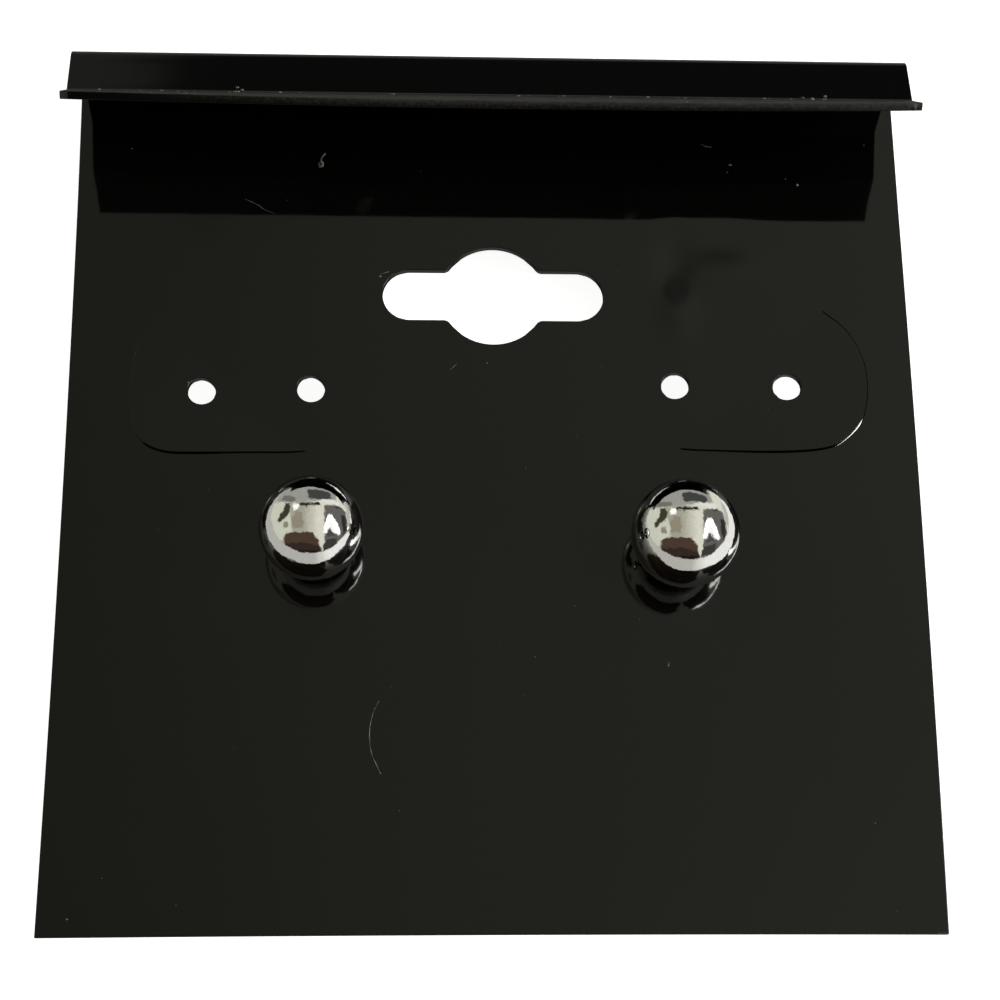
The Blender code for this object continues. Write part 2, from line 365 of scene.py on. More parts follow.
# the flange's mask: painted sheen with scuffs, lighter and rougher than the rest
scuffSheenMask = addNode(plasticTree, "ShaderNodeAttribute", {"attribute_name": "scuffAndSheen"}, 2)
blotches = noise(plasticTree, plasticPlace, *plasticLook["blotchNoise"])
grain = noise(plasticTree, plasticPlace, *plasticLook["grainNoise"])
sheenAndScuffGrey = mixColour(plasticTree, scuffSheenMask, plasticLook["base"], plasticLook["scuffAndSheen"])
dustShare = (scuffSheenMask * grain.scaled(*plasticLook["dustEdge"]).clamped()).scaled(plasticLook["dustMost"])
sheenScuffAndDust = mixColour(plasticTree, dustShare, sheenAndScuffGrey, plasticLook["dusty"])
join(plasticTree, plasticShader.inputs["Base Color"], sheenScuffAndDust)
# height = -slope * dy * exp(-(dx / wide)^2 - (dy / tall)^2), summed
px, py, _ = partsOf(plasticTree, plasticPlace)
height, smudges = blotches.scaled(plasticLook["waves"]), []
for cx, cy, wide, tall, slope in plasticLook["dimples"]:
    dx, dy = px.scaled(1 / wide, -cx / wide), py.scaled(1 / tall, -cy / tall)
    smudges.append((dx * dx + dy * dy).scaled(-1.0).exponent())
    height = height - dy * smudges[-1] * (slope * tall)
join(plasticTree, plasticShader.inputs["Normal"], bumpFrom(plasticTree, height))
join(plasticTree, plasticShader.inputs["Roughness"],
     (scuffSheenMask * plasticLook["scuffedRough"] + sum(smudges) * plasticLook["smudgedRough"]
      + blotches.scaled(*plasticLook["blotchRough"]) + grain.scaled(plasticLook["grainRough"])).clamped())

# The balls' mirror polish: a trace of orange peel and fine wipe marks
silverLook = {
    "base": (0.93, 0.93, 0.92, 1), "dark": (0.86, 0.86, 0.845, 1), "light": (0.95, 0.95, 0.94, 1),
    "roughness": 0.02, "peelNoise": (900.0, 3.0), "peelHeight": 0.000025,
    "wipeNoise": (4200.0, 2.0), "wipeBend": 1.5,
    "wipeHeight": 0.0000012, "wipeRough": (0.09, -0.02), "wipeTint": (2.5, -0.9),
}
silver, silverTree, silverShader, silverPlace = newMaterial(
    "polishedSilver", Base_Color=silverLook["base"], Metallic=1.0, Roughness=silverLook["roughness"])
peel = noise(silverTree, silverPlace, *silverLook["peelNoise"])
wipes = noise(silverTree, silverPlace, *silverLook["wipeNoise"], distortion=silverLook["wipeBend"])
join(silverTree, silverShader.inputs["Roughness"], wipes.scaled(*silverLook["wipeRough"]).clamped())
join(silverTree, silverShader.inputs["Base Color"], mixColour(
    silverTree, wipes.scaled(*silverLook["wipeTint"]).clamped(), silverLook["dark"], silverLook["light"]))
join(silverTree, silverShader.inputs["Normal"], bumpFrom(
    silverTree, peel * silverLook["peelHeight"] + wipes * silverLook["wipeHeight"]))

# Ear back steel, brushed along the strip
steelLook = {
    "base": (0.6, 0.6, 0.59, 1), "dark": (0.47, 0.46, 0.44, 1), "light": (0.66, 0.66, 0.65, 1),
    "roughness": 0.2, "stretch": (0.06, 1.0, 0.06), "brushNoise": (14000.0, 3.0),
    "brushHeight": 0.000004, "brushRough": (0.22, 0.1),
    "tarnishNoise": (700.0, 4.0), "tarnishRough": 0.12, "tarnishTint": (2.4, -0.8),
}
steel, steelTree, steelShader, steelPlace = newMaterial(
    "earBackSteel", Base_Color=steelLook["base"], Metallic=1.0, Roughness=steelLook["roughness"])
stretched = addNode(steelTree, "ShaderNodeMapping", Vector=steelPlace, Scale=steelLook["stretch"])
brushed = noise(steelTree, stretched, *steelLook["brushNoise"])
tarnish = noise(steelTree, steelPlace, *steelLook["tarnishNoise"])
join(steelTree, steelShader.inputs["Roughness"],
     (brushed.scaled(*steelLook["brushRough"]) + tarnish * steelLook["tarnishRough"]).clamped())
join(steelTree, steelShader.inputs["Base Color"], mixColour(
    steelTree, tarnish.scaled(*steelLook["tarnishTint"]).clamped(), steelLook["dark"], steelLook["light"]))
join(steelTree, steelShader.inputs["Normal"], bumpFrom(steelTree, brushed * steelLook["brushHeight"]))

# Dust and lint
lintLook = {"base": (0.2, 0.2, 0.19, 1), "dark": (0.06, 0.06, 0.056, 1), "light": (0.24, 0.24, 0.23, 1),
            "roughness": 0.85, "noise": (3000.0, 2.0), "tint": (4.0, -1.5)}
lint, lintTree, lintShader, lintPlace = newMaterial(
    "lintGrey", Base_Color=lintLook["base"], Roughness=lintLook["roughness"])
lintNoise = noise(lintTree, lintPlace, *lintLook["noise"])
join(lintTree, lintShader.inputs["Base Color"], mixColour(
    lintTree, lintNoise.scaled(*lintLook["tint"]).clamped(), lintLook["dark"], lintLook["light"]))
print("materials ready")


# The card, cut flat and then bent over its lip
card = {
    "width": 50.8, "sheet": 0.5, "rim": 0.06, "insideBend": 0.3,
    "runs": ((53.9, 0.0), (5.42, 108.6), (3.16, 166.0), (2.8, 125.0)),  # outside length, heading
    "spacing": 0.85, "lipSpacing": 0.6, "rimClear": 0.35,  # of the grid's points
    "slotHeight": 38.4, "slotMiddle": 0.13, "slotLength": 13.44,
    "slotWing": 3.27, "slotLobe": 6.4, "slotFillet": 0.5,
    # each slit as a chain of points, written for the right hand side: inner end, bottom, outer side
    "slits": {
        -1: ((11.1, 28.3), (12.5, 28.23), (16.1, 28.18), (18.5, 28.16), (19.6, 28.27), (20.6, 28.68),
             (21.3, 29.45), (21.65, 30.5), (21.75, 31.8), (21.7, 33.3), (21.4, 34.8), (20.85, 36.1),
             (20.1, 37.2)),
        1: ((11.1, 28.6), (12.4, 28.52), (15.5, 28.44), (18.4, 28.5), (20.2, 28.78), (21.1, 29.28),
            (22.0, 30.2), (22.4, 31.1), (22.65, 32.7), (22.45, 34.6), (21.55, 36.4), (20.1, 37.7))},
    "slitSteps": 5, "slitNarrow": {-1: 0.028, 1: 0.045}, "slitRim": 0.03,
    # where along the slit, as a share of it, and over how much of it
    "slitWide": 0.09, "slitWideAt": (0.14, 0.15), "slitGlint": 0.022, "slitGlintAt": (0.53, 0.05),
    "holes": ((-17.39, 32.07), (-10.85, 32.26), (11.04, 32.62), (17.78, 32.6)),
    "holeDiameter": 1.68, "holeUneven": 0.025, "holeSides": 36,
    "piercingDiameter": 1.0, "studs": ((-10.475, 22.55), (10.92, 22.3)),
    "tongueLift": 0.22, "tongueReach": 6.0, "tonguePower": 1.3,
    # the crown reaches up from the bottom edge, as shares of the panel's length
    "bottomCrown": 0.47, "crownFrom": 0.55, "crownReach": 0.45,
    "sideBow": 0.17, "sideDroop": 0.24, "droopPast": 0.5, "droopReach": 9.0,
    "studLean": 0.045, "leanBelow": 1.5, "leanReach": 3.2,
    # side, amount, start and reach away from the middle, power
    "flangeTwist": ((-1, 0.24, 4, 20, 1.5), (1, 0.2, 8, 16, 2)),
    # where the flange's painted sheen and scuffs begin along the sheet and how deep they reach; its cut edge
    # takes less of them to the left
    "scuffSheenFrom": 0.3, "scuffSheenSkin": 0.05, "edgeFront": 0.49, "edgeDullFrom": -22, "edgeDullReach": 16,
}
outerBend = card["insideBend"] + card["sheet"]
cardPath = bendPath((0.0, -card["sheet"]), card["runs"], outerBend, card["insideBend"])
flatEnd = cardPath["distance"][1]
cardLength = cardPath["distance"][-1]
flangeStart = cardPath["distance"][-2]


def slotOutline():
    # a quarter of wing end, fillet and lobe, mirrored twice
    wing, lobe, fillet = card["slotWing"] / 2, card["slotLobe"] / 2, card["slotFillet"]
    filletX = math.sqrt((lobe + fillet) ** 2 - (wing + fillet) ** 2)
    lobeAngle = math.degrees(math.atan2(wing + fillet, filletX))
    quarter = np.concatenate([
        arcPoints((card["slotLength"] / 2 - wing, 0), wing, 0, 90, 12),
        arcPoints((filletX, wing + fillet), fillet, 270, lobeAngle - 90, 8),
        arcPoints((0, 0), lobe, lobeAngle, 90 - lobeAngle, 12)[1:]])
    half = np.concatenate([quarter, quarter[-2::-1] * (-1, 1)])
    ring = np.concatenate([half, half[-2:0:-1] * (1, -1)])
    return (ring + (card["slotMiddle"], card["slotHeight"]))[::-1]


def slitOutline(side):
    # a narrow band along the slit's chain, widest along its bottom: p(s) -+ w(s) / 2 * n(s)
    chain = smoothChain(card["slits"][side], card["slitSteps"])
    t = np.linspace(0, 1, len(chain))
    narrow = card["slitNarrow"][side]
    wide = narrow + (card["slitWide"] - narrow) * bell(t, *card["slitWideAt"])
    if side > 0:
        # it gapes a little at this corner, so that the light behind glints through
        wide = wide + card["slitGlint"] * bell(t, *card["slitGlintAt"])
    half = wide[:, None] / 2 * besideChain(chain)
    band = np.concatenate([chain - half, (chain + half)[::-1]]) * (side, 1)
    return band[::-1] if side > 0 else band


def roundHole(x, v, diameter, uneven=0.0):
    # a circle whose radius varies a little, as in punched plastic:
    # r * (1 + e * cos(2a + x) + e / 2 * cos(3a + v))
    ring = arcPoints((0, 0), diameter / 2, 0, -360, card["holeSides"])[:-1]
    angle = np.arctan2(ring[:, 1], ring[:, 0])
    wave = 1 + uneven * np.cos(2 * angle + x) + uneven / 2 * np.cos(3 * angle + v)
    return ring * wave[:, None] + (x, v)


def tongue(x, v):
    # the plastic inside a slit stands up by lift * (distance past the hinge line / reach) ^ power
    lift = np.zeros(np.shape(x))
    for side, chain in card["slits"].items():
        start, end = np.array(chain[0]), np.array(chain[-1])
        hinge = (end - start) / np.hypot(*(end - start))
        past = hinge[1] * (x * side - start[0]) - hinge[0] * (v - start[1])
        rise = card["tongueLift"] * (np.maximum(past, 0) / card["tongueReach"]) ** card["tonguePower"]
        places = np.stack([x * side, v], -1).reshape(-1, 2)
        inside = insideLoop(places, smoothChain(chain, card["slitSteps"])).reshape(np.shape(x))
        lift = lift + np.where(inside, rise, 0.0)
    return lift


def placeOnCard(x, s, depth):
    # the flat sheet bent along the path, then out of true a little: a crown along its bottom edge,
    # long sides that bow and droop, a twisted flange, tongues that stand up, and a lean at each stud
    p = onPath(cardPath, s, card["sheet"] - depth)
    v, h = p[..., 0], p[..., 1]
    outwards = (x / (card["width"] / 2)) ** 2
    onPanel = np.clip((flatEnd - s) / flatEnd, 0, 1)
    crown = card["bottomCrown"] * ramp(onPanel, card["crownFrom"], card["crownReach"]) ** 2 * (1 - outwards)
    bow = card["sideBow"] * (1 - (2 * np.clip(s / flatEnd, 0, 1) - 1) ** 2) * outwards
    droopHere = np.clip((flatEnd + card["droopPast"] - s) / card["droopReach"], 0, 1)
    droop = -card["sideDroop"] * outwards * droopHere
    twist = 0.0
    for side, amount, start, reach, power in card["flangeTwist"]:
        twist = twist + amount * np.clip((side * x - start) / reach, 0, 2) ** power
    twist = twist * ramp(s, flangeStart, cardLength - flangeStart)
    lean = 0.0
    for studX, studV in card["studs"]:
        away = np.hypot(x - studX, v - studV + card["leanBelow"])
        lean = lean - card["studLean"] * np.sign(studX) * (x - studX) * bell(away, 0, card["leanReach"])
    return np.stack([x + bow, v + twist, h + crown + droop + tongue(x, s) + lean], -1)


def cardShape():
    halfWidth, spacing = card["width"] / 2, card["spacing"]
    # stations along the sheet: even on the panel, one at each step of the bends on the lip
    panelStations = np.linspace(0, flatEnd, int(flatEnd / spacing) + 1)
    lipStations = cardPath["distance"][2:]
    between = [a + (b - a) * k / 4 for a, b in zip(lipStations, lipStations[1:])
               if b - a > card["lipSpacing"] for k in (1, 2, 3)]
    lipStations = np.sort(np.concatenate([lipStations, between]))
    stations = np.concatenate([panelStations, lipStations])
    across = np.linspace(-halfWidth, halfWidth, int(card["width"] / spacing) + 1)
    right = np.stack([np.full(len(stations), halfWidth), stations], -1)
    left = right[::-1] * (-1, 1)
    bottom = np.stack([across[1:-1], np.zeros(len(across) - 2)], -1)
    top = np.stack([across[-2:0:-1], np.full(len(across) - 2, cardLength)], -1)
    outline = np.concatenate([bottom, right, top, left])
    openings = [slotOutline(), slitOutline(-1), slitOutline(1)]
    openings += [roundHole(x, v, card["holeDiameter"], card["holeUneven"]) for x, v in card["holes"]]
    openings += [roundHole(x, v, card["piercingDiameter"]) for x, v in card["studs"]]
    # grid points inside, away from every rim
    gridX, gridS = np.meshgrid(across[1:-1], stations[1:-1])
    inner = np.stack([gridX.ravel(), gridS.ravel()], -1)
    keep = np.ones(len(inner), bool)
    for loop in openings:
        distance = np.hypot(inner[:, None, 0] - loop[None, :, 0], inner[:, None, 1] - loop[None, :, 1])
        keep &= distance.min(1) > card["rimClear"]
        keep &= ~insideLoop(inner, loop)
    inner = inner[keep]
    # every station of the lip is a fold line from rim to rim, so that no triangle spans a bend
    first = len(outline) + sum(len(loop) for loop in openings)
    folds = []
    for k in range(len(panelStations) - 1, len(stations) - 1):
        row = np.flatnonzero(np.isclose(inner[:, 1], stations[k])) + first
        leftEnd = len(outline) - 1 - k
        chain = [leftEnd] + row.tolist() + [len(bottom) + k]
        folds += list(zip(chain, chain[1:]))
    rims = [card["rim"]] * 2 + [card["slitRim"]] * 2 + [card["rim"]] * (len(openings) - 3)
    return cutSheet(outline, openings, inner, folds, card["sheet"], rims, placeOnCard)


cardPoints, cardFaces, cardNormals, cardFlat = cardShape()
flatX, flatS, flatDepth = cardFlat.T
# the free flange's outer face and its cut edge are painted a lighter grey and made duller than the rest:
# painted sheen standing in for the reflection along that strip, with scuffs and dust on it
outerFace = ramp(flatS, flangeStart, card["scuffSheenFrom"]) * ramp(flatDepth, 0, card["scuffSheenSkin"])
onEdge = np.clip((flatS - cardLength + 2 * card["rim"]) / card["rim"], 0, 1) * (flatDepth < card["edgeFront"])
dullEdge = ramp(flatX, card["edgeDullFrom"], card["edgeDullReach"]) * ramp(flatDepth, 0, card["sheet"])
makePiece("displayCard", cardPoints, cardFaces, plastic, "display_card", "black_plastic", cardNormals,
          {"scuffAndSheen": outerFace * (1 - onEdge * (1 - dullEdge))})


# Each ball stud, turned: ball, solder cone, post with its groove, round tip
stud = {
    "balls": (3.0, 3.14), "cone": 0.6, "post": 0.4, "gap": 0.2, "reach": 9.9,
    "sides": 96, "ballSteps": 84, "tipSteps": 8,
    "groove": 0.1, "grooveWidth": 0.5, "grooveFromTip": 1.6, "grooveCorner": (0.02, 0.03, 0.04),
    "coneSpread": 0.2, "coneStart": 0.1, "coneHeight": 0.12, "shankStart": 0.3, "shankEnd": 0.4,
}


def studProfile(ball):
    # radius and height from the ball's centre, from its top down to the tip
    post = stud["post"]
    meet = math.degrees(math.asin(stud["cone"] / ball))
    tip = -(ball + stud["gap"] + card["sheet"] + stud["reach"])
    sphere = arcPoints((0, 0), ball, 90, -(180 - meet), stud["ballSteps"])[1:]
    cone = [(post + stud["coneSpread"] * k ** 2, -ball - stud["coneStart"] + stud["coneHeight"] * k)
            for k in (0.75, 0.5, 0.25, 0)]
    low = tip + stud["grooveFromTip"]
    high, deep = low + stud["grooveWidth"], stud["groove"]
    small, middle, large = stud["grooveCorner"]
    groove = [(post, high + middle), (post - small, high - small),
              (post - deep + small, high - deep), (post - deep, high - deep - large),
              (post - deep, low + deep + large), (post - deep + small, low + deep),
              (post - small, low + small), (post, low - middle)]
    shank = [(post, h) for h in np.linspace(-ball - stud["shankStart"], high + stud["shankEnd"], 8)]
    nose = arcPoints((0, tip + post), post, 0, -90, stud["tipSteps"])[:-1]
    below = [(post, low - stud["shankEnd"])]
    return np.concatenate([sphere, cone, shank, groove, below, nose]), ball, tip


def turned(profile, top, bottom, centre, sides):
    # profile(radius, height) carried round a vertical axis: (r cos a, r sin a, height), poles closed
    angle = 2 * np.pi * np.arange(sides) / sides
    rings = np.stack([profile[:, None, 0] * np.cos(angle), profile[:, None, 0] * np.sin(angle),
                      np.broadcast_to(profile[:, None, 1], (len(profile), sides))], -1)
    points = np.concatenate([rings.reshape(-1, 3), [[0, 0, top], [0, 0, bottom]]]) + centre
    index = np.arange(len(profile) * sides).reshape(len(profile), sides)
    after = np.roll(index, -1, -1)
    topFan = np.stack([np.full(sides, len(points) - 2), index[0], after[0]], -1).tolist()
    bottomFan = np.stack([np.full(sides, len(points) - 1), after[-1], index[-1]], -1).tolist()
    return points, ringQuads(index).tolist() + topFan + bottomFan


for label, place, ball in zip(("left", "right"), card["studs"], stud["balls"]):
    profile, top, bottom = studProfile(ball)
    centre = np.array([*place, stud["gap"] + ball])
    points, faces = turned(profile, top, bottom, centre, stud["sides"])
    makePiece("ballStud" + label.capitalize(), points, faces, silver, "ball_stud_" + label, "polished_silver")


# Ear backs: a strip with a hole, its two ends rolled into scrolls that grip the post
earBack = {"sheet": 0.3, "rim": 0.05, "scroll": 1.25, "width": 3.4, "tipWidth": 2.5, "sweep": 295,
           "hole": 1.0, "holeSides": 28, "seat": -0.7, "curlSteps": 30, "acrossSteps": 14,
           "fineX": 1.6, "fineY": 1.2, "fineRows": 9, "rimClear": 0.15}  # finer points round the hole


def earBackShape(studX, studV):
    radius, curlSteps = earBack["scroll"], earBack["curlSteps"]
    centreX = earBack["hole"] / 2 + radius
    curl = arcPoints((centreX, radius), radius, -90, earBack["sweep"] - 90, curlSteps)
    headings = np.linspace(0, earBack["sweep"] - 90, curlSteps + 1)
    path = pathOf(np.concatenate([curl[::-1] * (-1, 1), curl]), np.concatenate([-headings[::-1], headings]))
    stations = path["distance"]
    length = stations[-1]

    def widthAt(s):
        # full width at the plate, narrowing smoothly towards each rolled end
        t = np.clip((np.abs(s - length / 2) - centreX) / (length / 2 - centreX), 0, 1)
        return earBack["width"] - (earBack["width"] - earBack["tipWidth"]) * t * t * (3 - 2 * t)

    def place(across, s, depth):
        # the strip bent along its path; the path is its outside, which faces the card at the seat
        p = onPath(path, s, depth)
        return np.stack([p[..., 0] + studX, across + studV, earBack["seat"] - p[..., 1]], -1)

    half = widthAt(stations) / 2
    right = np.stack([half, stations], -1)
    left = np.stack([-half, stations], -1)[::-1]
    steps = np.linspace(-1, 1, earBack["acrossSteps"] + 1)[1:-1]
    bottomEdge = np.stack([steps * half[0], np.zeros(len(steps))], -1)
    topEdge = np.stack([-steps * half[-1], np.full(len(steps), length)], -1)
    outline = np.concatenate([bottomEdge, right, topEdge, left])
    hole = arcPoints((0, length / 2), earBack["hole"] / 2, 0, -360, earBack["holeSides"])[:-1]
    gridU, gridS = np.meshgrid(steps, stations[1:-1])
    inner = np.stack([gridU * np.broadcast_to(widthAt(gridS) / 2, gridU.shape), gridS], -1).reshape(-1, 2)
    fineRows = np.linspace(-1.0, 1.0, earBack["fineRows"]) * earBack["fineY"] + length / 2
    fine = np.stack(np.meshgrid(steps * earBack["fineX"], fineRows), -1).reshape(-1, 2)
    inner = np.concatenate([inner, fine])
    distance = np.hypot(inner[:, 0], inner[:, 1] - length / 2)
    inner = inner[distance > earBack["hole"] / 2 + earBack["rimClear"]]
    _, unique = np.unique(np.round(inner, 4), axis=0, return_index=True)
    inner = inner[np.sort(unique)]
    # every station of the curls is a fold line from rim to rim, but not the plate's two ends
    first = len(outline) + len(hole)
    folds = []
    for k in range(1, len(stations) - 1):
        row = np.flatnonzero(np.isclose(inner[:, 1], stations[k], atol=1e-6))
        if k in (curlSteps, curlSteps + 1) or not len(row):
            continue
        row = row[np.argsort(inner[row, 0])] + first
        leftEnd = len(outline) - 1 - k
        chain = [leftEnd] + row.tolist() + [len(bottomEdge) + k]
        folds += list(zip(chain, chain[1:]))
    return cutSheet(outline, [hole], inner, folds, earBack["sheet"], [earBack["rim"]] * 2, place)


for label, place in zip(("left", "right"), card["studs"]):
    points, faces, normals, _ = earBackShape(*place)
    makePiece("earBack" + label.capitalize(), points, faces, steel, "ear_back_" + label, "ear_back_steel",
              normals)


# Dust on the card. Specks: x, distance up the sheet, half sizes across and along. On the ledge: x and
# distance past the flange's bend. Lint: chains on the panel with a radius.
dust = {
    "seed": 7, "height": 0.02, "heightShare": 0.3, "uneven": (0.75, 1.25), "rings": 5, "sides": 9,
    "onPanel": {"many": 46, "size": (0.012, 0.03), "across": (-24, 24), "along": (1, 49),
                "stretch": (0.7, 1.6)},
    "onLedge": {"many": 70, "size": (0.015, 0.05), "across": (-25, 25), "along": (0.05, 2.6),
                "stretch": (0.8, 2.0)},
    "besideSlot": 7.5, "belowSlot": 34, "aboveSlot": 43,  # the scattered specks keep clear of it
    "specks": ((10.06, 15.4, 0.04, 0.14), (2.37, 15.8, 0.06, 0.03), (1.77, 13.5, 0.04, 0.03),
               (-0.27, 33.98, 0.05, 0.04), (-6.75, 39.6, 0.09, 0.07), (19.15, 46.1, 0.07, 0.09),
               (-23.66, 0.97, 0.07, 0.05), (21.48, 6.2, 0.07, 0.05), (-21.86, 3.2, 0.04, 0.03),
               (15.0, 47.4, 0.12, 0.06), (14.8, 46.9, 0.05, 0.05), (23.5, 48.9, 0.05, 0.04),
               (-10.46, 47.1, 0.19, 0.24), (-18.2, 32.6, 0.06, 0.05)),
    "ledge": ((-23.4, 0.3), (-19.7, 0.25), (-15.4, 0.1), (-15.2, 0.3), (-12.7, 0.35), (11.5, 0.5),
              (16.3, 0.1), (19.2, 0.4), (20.0, 0.1), (17.9, 0.3), (7.0, 0.5), (1.5, 0.4), (-6.0, 0.4),
              (20.1, -0.32), (19.3, -0.12), (18.7, -0.2), (-15.3, -0.42), (-15.0, -0.2), (4.2, 0.3),
              (9.3, 0.2)),
    "ledgeHalf": (0.11, 0.08),
    "lint": ((((-6.6, 13.2), (-6.95, 12.4), (-7.12, 11.3), (-7.0, 10.2), (-6.65, 9.4), (-6.45, 8.95)), 0.02),
             (((-15.1, 44.7), (-14.3, 44.3), (-13.9, 44.0), (-13.3, 43.75)), 0.014),
             (((-10.5, 47.2), (-10.42, 47.55), (-10.2, 47.85)), 0.06),
             (((13.2, 48.8), (13.55, 48.65), (13.9, 48.6)), 0.03),
             (((-6.75, 39.75), (-6.2, 39.9)), 0.02),
             (((-2.1, 33.9), (-2.5, 33.5)), 0.014)),
    "lintSteps": 8, "lintSides": 6, "lintBlunt": 0.25, "lintSunk": 0.6,
}


def scatter(random, group, start, depth):
    # one row for each speck, drawn evenly: place across and along, depth, half sizes across and along
    many = group["many"]
    size = random.uniform(*group["size"], many)
    across = random.uniform(*group["across"], many)
    along = start + random.uniform(*group["along"], many)
    wide = size * random.uniform(*group["stretch"], many)
    return np.column_stack([across, along, np.full(many, depth), wide, size])


def speckShape():
    # flattened balls: centre + (a sin u cos w, b sin u sin w, c cos u), each a little out of true
    random = np.random.default_rng(dust["seed"])
    rings, sides = dust["rings"], dust["sides"]
    placed = np.array([(x, s, 0.0, a, b) for x, s, a, b in dust["specks"]])
    loose = scatter(random, dust["onPanel"], 0.0, 0.0)
    loose = loose[(np.abs(loose[:, 0]) > dust["besideSlot"]) | (loose[:, 1] < dust["belowSlot"])
                  | (loose[:, 1] > dust["aboveSlot"])]
    ledge = np.array([(x, flangeStart + up, card["sheet"], *dust["ledgeHalf"]) for x, up in dust["ledge"]])
    fine = scatter(random, dust["onLedge"], flangeStart, card["sheet"])
    rows = np.concatenate([placed, loose, ledge, fine])
    centres = placeOnCard(rows[:, 0], rows[:, 1], rows[:, 2])
    u = np.pi * (np.arange(rings) + 0.5) / rings
    w = 2 * np.pi * np.arange(sides) / sides
    shape = np.stack([np.sin(u)[:, None] * np.cos(w), np.sin(u)[:, None] * np.sin(w),
                      np.broadcast_to(np.cos(u)[:, None], (rings, sides))], -1)
    heights = dust["height"] + rows[:, 4] * dust["heightShare"]
    sizes = np.column_stack([rows[:, 3], rows[:, 4], heights])
    wave = random.uniform(*dust["uneven"], (len(rows), rings, sides, 1))
    points = centres[:, None, None] + shape * sizes[:, None, None] * wave
    index = np.arange(len(rows) * rings * sides).reshape(len(rows), rings, sides)
    caps = index[:, 0, ::-1].tolist() + index[:, -1].tolist()
    return points.reshape(-1, 3), ringQuads(index).tolist() + caps


def lintShape(chain, radius):
    # a ring carried along the chain: p(s) + r (cos w * side + sin w * up), thinner at its ends
    path, sides = smoothChain(chain, dust["lintSteps"]), dust["lintSides"]
    side = besideChain(path)
    w = 2 * np.pi * np.arange(sides) / sides
    blunt = dust["lintBlunt"]
    taper = radius * np.sin(np.linspace(blunt, np.pi - blunt, len(path)))[:, None] ** 0.5
    sunk = np.full(len(path), -radius * dust["lintSunk"])
    middle = placeOnCard(path[:, 0], path[:, 1], sunk)[:, None]
    across = np.concatenate([side, np.zeros((len(side), 1))], -1)[:, None]
    points = middle + taper[..., None] * (np.cos(w)[None, :, None] * across
                                          + np.sin(w)[None, :, None] * np.array([0, 0, 1.0]))
    index = np.arange(len(path) * sides).reshape(len(path), sides)
    quads = ringQuads(index)[:, [0, 3, 2, 1]].tolist()  # this ring runs the other way
    return points.reshape(-1, 3), quads + [index[0, ::-1].tolist(), index[-1].tolist()]


makePiece("dustSpecks", *speckShape(), lint)
lintPoints, lintFaces = [], []
for chain, radius in dust["lint"]:
    points, faces = lintShape(chain, radius)
    first = sum(len(block) for block in lintPoints)
    lintPoints.append(points)
    lintFaces += [[first + k for k in face] for face in faces]
makePiece("lintThreads", np.concatenate(lintPoints), lintFaces, lint)
print("pieces ready")


# Light, floor and camera
view = bpy.context.scene.view_settings
view.view_transform = "Standard"

